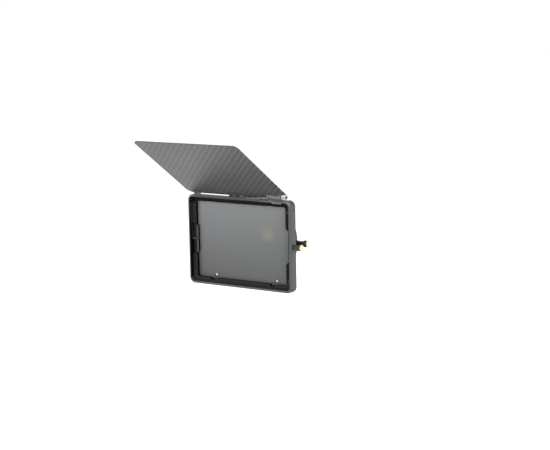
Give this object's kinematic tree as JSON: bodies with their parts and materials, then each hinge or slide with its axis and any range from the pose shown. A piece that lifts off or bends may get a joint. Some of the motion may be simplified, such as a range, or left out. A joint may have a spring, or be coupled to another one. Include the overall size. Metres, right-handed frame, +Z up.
{
  "type": "matte box",
  "caption": "A slim black matte box for rectangular camera filters, with a tilting carbon fibre top flag, side pads with a brass lock screw and a round clamp for the lens front.",
  "frame": {"origin": "on the lens axis, in the face that the front of the lens stops against", "axes": "+Z up; +X to the right as seen by someone who faces the front; the front with its filter window looks along -Y, and +Y points back along the lens to the camera"},
  "size_m": [0.1735, 0.1487, 0.1945],
  "materials": {
    "anodised": "matte black anodised",
    "carbon": "satin twill carbon fibre",
    "filter_glass": "neutral grey, polished",
    "rubber": "matte black",
    "black_plastic": "matte black",
    "brass": "polished brass, knurled",
    "chrome": "polished",
    "steel": "bright, machined",
    "black_steel": "black oxide"
  },
  "bodies": {
    "body": {"front_frame": "anodised", "filter_channel": "anodised", "rear_plate": "anodised", "lens_clamp": "anodised", "light_seal": "rubber", "filter_bumper_left": "rubber", "filter_bumper_right": "rubber", "side_plug_left": "black_steel", "side_plug_right": "black_steel", "left_guide_pin": "black_steel", "left_pad_spring": "steel", "lock_bushing": "black_steel", "clamp_insert": "brass", "hinge_base_left": "anodised", "hinge_base_middle": "anodised", "hinge_base_right": "anodised", "hinge_pin_left": "steel", "hinge_pin_middle": "steel", "hinge_axle_right": "steel", "friction_washer": "steel", "hinge_screw_left_1": "black_steel", "hinge_screw_middle_1": "black_steel", "hinge_screw_middle_2": "black_steel", "hinge_screw_right_1": "black_steel", "hinge_screw_right_2": "black_steel", "frame_screw_1": "black_steel", "frame_screw_2": "black_steel", "frame_screw_3": "black_steel", "frame_screw_4": "black_steel", "frame_screw_5": "black_steel", "frame_screw_6": "black_steel", "flange_screw_1": "black_steel", "flange_screw_2": "black_steel", "flange_screw_3": "black_steel", "flange_screw_4": "black_steel", "ledge_screw_1": "black_steel", "ledge_screw_2": "black_steel", "ledge_screw_3": "black_steel", "ledge_screw_4": "black_steel"},
    "top_flag": {"flag": "carbon", "flag_bracket_left": "anodised", "flag_bracket_middle": "anodised", "hinge_barrel_right": "anodised", "flag_screw_1": "black_steel", "flag_screw_2": "black_steel", "flag_screw_3": "black_steel", "flag_screw_4": "black_steel", "flag_screw_5": "black_steel"},
    "flag_tension": {"tension_knob": "chrome"},
    "filter": {"filter_glass": "filter_glass"},
    "sprung_pad": {"left_pad": "black_plastic"},
    "locking_pad": {"right_pad": "black_plastic"},
    "pad_lock": {"lock_screw": "steel", "lock_knob": "brass"},
    "shoe": {"clamp_shoe": "black_plastic"},
    "clamp_lock": {"clamp_screw": "steel", "clamp_knob": "brass"},
    "left_retainer": {"retainer_spring_left": "chrome"},
    "right_retainer": {"retainer_spring_right": "chrome"}
  },
  "joints": [
    {"name": "flag_tilt", "type": "hinge", "parent": "body", "child": "top_flag", "pos_m": [0, -0.0155, 0.0614], "axis": [1, 0, 0], "range_deg": [-55, 68]},
    {"name": "tension_turn", "type": "hinge", "parent": "body", "child": "flag_tension", "pos_m": [0.07, -0.0155, 0.0614], "axis": [1, 0, 0], "range_deg": [-270, 45]},
    {"name": "filter_lift", "type": "slide", "parent": "body", "child": "filter", "axis": [0, 0, 1], "range_m": [0, 0.106]},
    {"name": "sprung_pad_slide", "type": "slide", "parent": "body", "child": "sprung_pad", "axis": [1, 0, 0], "range_m": [-0.001, 0], "stiffness_N_per_m": 400, "springref_m": 0.001},
    {"name": "locking_pad_slide", "type": "slide", "parent": "body", "child": "locking_pad", "axis": [1, 0, 0], "range_m": [-0.0011, 0]},
    {"name": "pad_lock_turn", "type": "hinge", "parent": "locking_pad", "child": "pad_lock", "pos_m": [0.085, -0.0125, 0], "axis": [1, 0, 0], "range_deg": [-565.71, 0]},
    {"name": "shoe_slide", "type": "slide", "parent": "body", "child": "shoe", "axis": [1, 0, 0], "range_m": [-0.002, 0]},
    {"name": "clamp_lock_turn", "type": "hinge", "parent": "shoe", "child": "clamp_lock", "pos_m": [0.07, 0.0175, 0], "axis": [1, 0, 0], "range_deg": [-720, 0]},
    {"name": "left_retainer_flex", "type": "hinge", "parent": "body", "child": "left_retainer", "pos_m": [-0.047, -0.0118, -0.0521], "axis": [1, 0, 0], "range_deg": [0, 8], "stiffness_Nm_per_rad": 0.02, "springref_deg": -2.86},
    {"name": "right_retainer_flex", "type": "hinge", "parent": "body", "child": "right_retainer", "pos_m": [0.047, -0.0118, -0.0521], "axis": [1, 0, 0], "range_deg": [0, 8], "stiffness_Nm_per_rad": 0.02, "springref_deg": -2.86}
  ],
  "couplings": [
    {"joint": "pad_lock_turn", "follows": "locking_pad_slide", "rad_per_m": 8975.9},
    {"joint": "clamp_lock_turn", "follows": "shoe_slide", "rad_per_m": 6283.1}
  ]
}
